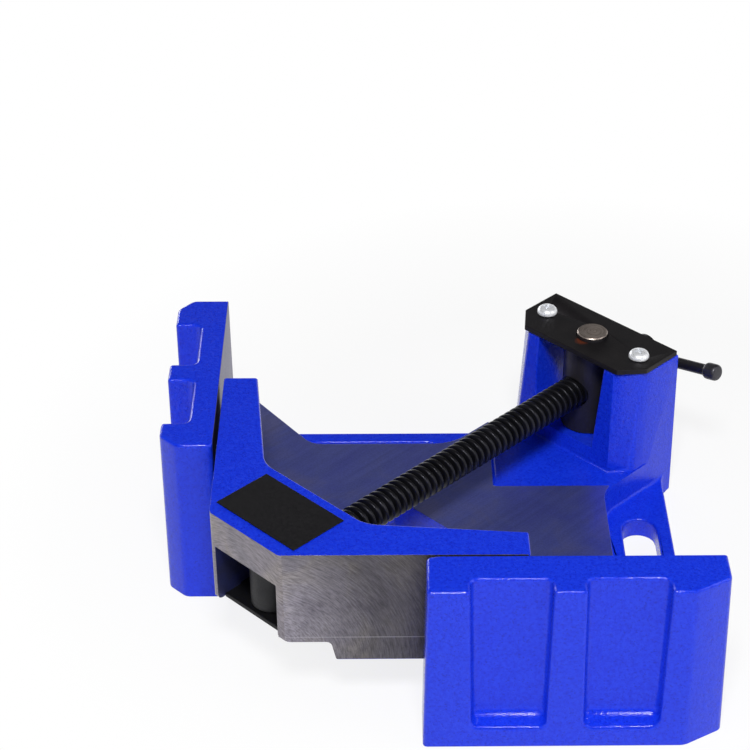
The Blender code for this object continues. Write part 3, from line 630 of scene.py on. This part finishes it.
# Nut: phosphated, with the turned end of its upper journal left bare
journalFrom = 84.0
nutBlack = blackOxide("phosphatedNut", "#353337", "#454246", (0.4, 0.6))
journalSteel = milledIron("turnedJournalEnd", {**milledSettings, "colours": ("#a2958e", "#b2a59d", "#bfb1a6"),
                                               "middle": (0, 0, 0), "turn": (0, 0, 0), "spacing": 0.9,
                                               "along": 0.5, "depth": 0.5})
finishPiece("swivelNut", solidCopy("swivel_nut"), "nut", ["swivel_nut"],
            [nutBlack, journalSteel], lambda face: 1 if face.calc_center_median().z > journalFrom * mm else 0)

# Cover plate, with a spot of rust beside the journal
rustByNut = {"middle": (-5.6, -5.6, 83.1), "radius": 5.0, "colour": "#8a4326"}
coverBlack = blackOxide("blackOxidePlate", "#232124", "#2d2a2c", (0.42, 0.6), grainSize=0.5, rust=rustByNut)
finishPiece("nutCoverPlate", solidCopy("nut_cover_plate"), "base", ["nut_cover_plate"],
            [coverBlack], rounding=evenRounding(0.35))

# Bright zinc plate on steel: a pale grey-white that is half mirror
zincSettings = {"sockets": {"Metallic": 0.5}, "tones": ("#e8ebf0", "#fbfcff"), "rough": (0.26, 0.4),
                "grain": 1 / 1.4, "detail": 3.0, "lift": 0.2, "height": 0.06}
zincPlate = thinSkin("brightZincPlate", zincSettings)

# Pan head screws of the cover
headSettings = {"radius": 5.0, "height": 3.5, "shank": 2.3, "foot": 66.1, "seat": 83.4, "armWidth": 0.62,
                "armReach": 2.5, "depth": 1.7, "taper": 0.72, "floorCurve": 0.12, "recessFrom": 1.2}


def panHead(side, turn):
    h = headSettings
    radius, seat, shank = h["radius"], h["seat"], h["shank"]
    dome = [(1, 0.35), (0.99, 1.1), (0.94, 1.8), (0.84, 2.5), (0.68, 3.05), (0.45, 3.38), (0.2, 3.48),
            (0, h["height"])]       # shares of the radius
    outline = above(h["foot"], [(0, 0), (shank - 0.6, 0), (shank, 0.7)])
    outline += above(seat, [(shank, 0), (radius - 0.25, 0)])
    outline += above(seat, [(share * radius, height) for share, height in dome])
    bm = spunBody(outline, Matrix.Identity(4), 48)
    # the cross recess: its outline is cut into the dome, and what lies inside is pushed down
    lowest = (seat + h["recessFrom"]) * mm
    for x in (-h["armReach"], -h["armWidth"], h["armWidth"], h["armReach"]):
        for normal in ((1, 0, 0), (0, 1, 0)):
            top = [f for f in bm.faces if f.calc_center_median().z > lowest]
            geom = list({v for f in top for v in f.verts}) + list({e for f in top for e in f.edges}) + top
            bmesh.ops.bisect_plane(bm, geom=geom, plane_co=Vector(normal) * x * mm, plane_no=normal,
                                   dist=0.0005 * mm)
    inside = []
    for f in bm.faces:
        centre = f.calc_center_median()
        across, along = sorted((abs(centre.x / mm), abs(centre.y / mm)))
        if centre.z > lowest and f.normal.z > 0.2 and across < h["armWidth"] and along < h["armReach"]:
            inside.append(f)
    pushed = bmesh.ops.extrude_face_region(bm, geom=inside)
    deep = [part for part in pushed["geom"] if isinstance(part, bmesh.types.BMVert)]
    bmesh.ops.delete(bm, geom=inside, context="FACES_ONLY")
    domeTop = (seat + h["height"]) * mm
    for v in deep:
        v.co.x *= h["taper"]
        v.co.y *= h["taper"]
        v.co.z = domeTop - h["depth"] * mm + h["floorCurve"] * (v.co.z - domeTop)
    bmesh.ops.recalc_face_normals(bm, faces=bm.faces[:])
    place = (toDiagonal @ Matrix.Translation((0, side * layout["coverScrew"] * mm, 0))
             @ Matrix.Rotation(math.radians(turn), 4, "Z"))
    bmesh.ops.transform(bm, matrix=place, verts=bm.verts[:])
    return bm


for name, node, side, turn in (("coverScrewLeft", "cover_screw_left", 1, 20),
                               ("coverScrewRight", "cover_screw_right", -1, 62)):
    finishPiece(name, panHead(side, turn), "base", [node], [zincPlate], sharpAngle=38)
for name, node in (("bottomPlateScrewLeft", "bottom_plate_screw_left"),
                   ("bottomPlateScrewRight", "bottom_plate_screw_right")):
    finishPiece(name, solidCopy(node), "nose_jaw", [node], [zincPlate])
print("nut, cover plate and screws made")

# Pivot block, its pin and the bottom plate
blockGrey = blackOxide("phosphatedBlock", "#2e2e30", "#3c3c3e", (0.45, 0.62))
finishPiece("nosePivotBlock", solidCopy("nose_pivot_block"), "pivot_block", ["nose_pivot_block"],
            [blockGrey])
pinSteel = blackOxide("groundPinSteel", "#7b7b80", "#8c8c90", (0.2, 0.32), lift=0.1)
finishPiece("screwRetainingPin", solidCopy("screw_retaining_pin"), "pivot_block", ["screw_retaining_pin"],
            [pinSteel])
plateSettings = {"edge": 0.3, "sharperThan": 60, "longerThan": 3.0}     # mm, degrees, mm


def plateRounding(edge, angle):
    s = plateSettings
    return s["edge"] if angle > s["sharperThan"] and edge.calc_length() > s["longerThan"] * mm else 0.0


plateBlack = blackOxide("blackOxideBottomPlate", "#19191b", "#222225", (0.45, 0.62))
finishPiece("noseBottomPlate", solidCopy("nose_bottom_plate"), "nose_jaw", ["nose_bottom_plate"],
            [plateBlack], rounding=plateRounding)

# Blank label: black foil, nearly even, with a soft sheen
foilSettings = {"sockets": {"Metallic": 0.0, "IOR": 1.42}, "tones": ("#0c0b0e", "#131215"),
                "rough": (0.3, 0.42), "grain": 1 / 0.7, "detail": 4.0, "lift": 0.15, "height": 0.05}
foil = thinSkin("printedBlackFoil", foilSettings)
finishPiece("labelPlate", solidCopy("label_plate"), "nose_jaw", ["label_plate"], [foil],
            rounding=evenRounding(0.1), segments=2)
print("nose fittings made")


def seenRays(tree):
    # 1 for what the camera sees, also in a mirror or through glass, and 0 for the light that falls on things
    rays = addNode(tree, "ShaderNodeLightPath").outputs
    seen = addNode(tree, "ShaderNodeMath", operation="MAXIMUM",
                   links={0: rays["Is Camera Ray"], 1: rays["Is Glossy Ray"]})
    seen = addNode(tree, "ShaderNodeMath", operation="MAXIMUM",
                   links={0: seen.outputs[0], 1: rays["Is Transmission Ray"]})
    return seen.outputs[0]


# White paper floor, in metres: plain white away from the object, and near it the shadow stays
floorSettings = {"half": 6.0, "drop": 0.0002, "white": 0.9, "fade": (0.16, 0.3), "nearShare": 0.8}


def whitePaper():
    s = floorSettings
    material, tree, shader = newMaterial("whitePaper", {"Roughness": 0.9, "Base Color": grey(s["white"])})
    place = addNode(tree, "ShaderNodeTexCoord").outputs["Object"]
    distance = addNode(tree, "ShaderNodeVectorMath", links={0: place}, operation="LENGTH").outputs["Value"]
    share = addNode(tree, "ShaderNodeMapRange",
                    {"From Min": s["fade"][0], "From Max": s["fade"][1],
                     "To Min": s["nearShare"], "To Max": 1.0}, {"Value": distance})
    share = addNode(tree, "ShaderNodeMath", operation="MULTIPLY",
                    links={0: share.outputs[0], 1: seenRays(tree)})
    white = addNode(tree, "ShaderNodeEmission", {"Color": grey(1.0), "Strength": 1.0})
    blend = addNode(tree, "ShaderNodeMixShader",
                    links={0: share.outputs[0], 1: shader.outputs[0], 2: white.outputs[0]})
    tree.links.new(blend.outputs[0], tree.nodes["Material Output"].inputs["Surface"])
    return material


floorMesh = bpy.data.meshes.new("paleFloor")
bm = bmesh.new()
bmesh.ops.create_grid(bm, x_segments=1, y_segments=1, size=floorSettings["half"])
bm.to_mesh(floorMesh)
bm.free()
floorMesh.materials.append(whitePaper())
floor = bpy.data.objects.new("paleFloor", floorMesh)
bpy.context.scene.collection.objects.link(floor)
floor.location.z = -floorSettings["drop"]

# Soft boxes: places and sizes in metres, power in watts
aimPoint = (-0.05, -0.05, 0.04)
lampSettings = {
    "frontBox": {"place": (-0.1, -0.91, 1.27), "target": aimPoint, "size": (0.35, 0.28), "power": 19},
    "rightBox": {"place": (1.4, -0.5, 1.1), "target": aimPoint, "size": (0.9, 0.9), "power": 7},
    "rimBox": {"place": (-0.85, 1.15, 0.26), "target": (-0.15, -0.05, 0.07), "size": (0.7, 0.16), "power": 4},
}
for name, lamp in lampSettings.items():
    light = bpy.data.lights.new(name, "AREA")
    light.shape = "RECTANGLE"
    light.size, light.size_y = lamp["size"]
    light.energy = lamp["power"]
    softBox = bpy.data.objects.new(name, light)
    bpy.context.scene.collection.objects.link(softBox)
    softBox.location = lamp["place"]
    aim = Vector(lamp["target"]) - Vector(lamp["place"])
    softBox.rotation_euler = aim.to_track_quat("-Z", "Y").to_euler()

# A white cyclorama that darkens overhead, so that level faces mirror the dark and upright ones the white
skySettings = {"heights": (0.12, 0.34), "greys": (1.0, 0.09), "fill": 1.05}
world = bpy.data.worlds.new("studio")
bpy.context.scene.world = world
world.use_nodes = True
sky = world.node_tree
for node in list(sky.nodes):
    sky.nodes.remove(node)
direction = addNode(sky, "ShaderNodeTexCoord").outputs["Generated"]
height = addNode(sky, "ShaderNodeSeparateXYZ", links={0: direction}).outputs[2]
cyclorama = addNode(sky, "ShaderNodeValToRGB", links={0: height},
                    stops=greys(skySettings["heights"], skySettings["greys"]))
strength = addNode(sky, "ShaderNodeMapRange", {"To Min": skySettings["fill"], "To Max": 1.0},
                   {"Value": seenRays(sky)})
background = addNode(sky, "ShaderNodeBackground",
                     links={"Color": cyclorama.outputs[0], "Strength": strength.outputs[0]})
addNode(sky, "ShaderNodeOutputWorld", links={"Surface": background.outputs[0]})

# Camera, matched to the photograph's largest view
viewSettings = {"lens": 99.4745, "sensor": 36.0, "shift": (-0.05369, 0.15080), "clip": (0.05, 20.0),
                "place": (-0.100156, -0.865605, 0.621099), "turn": (53.926025, -0.193444, -0.755639)}
view = bpy.data.cameras.new("photoView")
view.lens = viewSettings["lens"]
view.sensor_width = viewSettings["sensor"]
view.shift_x, view.shift_y = viewSettings["shift"]
view.clip_start, view.clip_end = viewSettings["clip"]
camera = bpy.data.objects.new("photoView", view)
bpy.context.scene.collection.objects.link(camera)
camera.location = viewSettings["place"]
camera.rotation_euler = [math.radians(v) for v in viewSettings["turn"]]
bpy.context.scene.camera = camera
bpy.context.scene.view_settings.view_transform = "Standard"
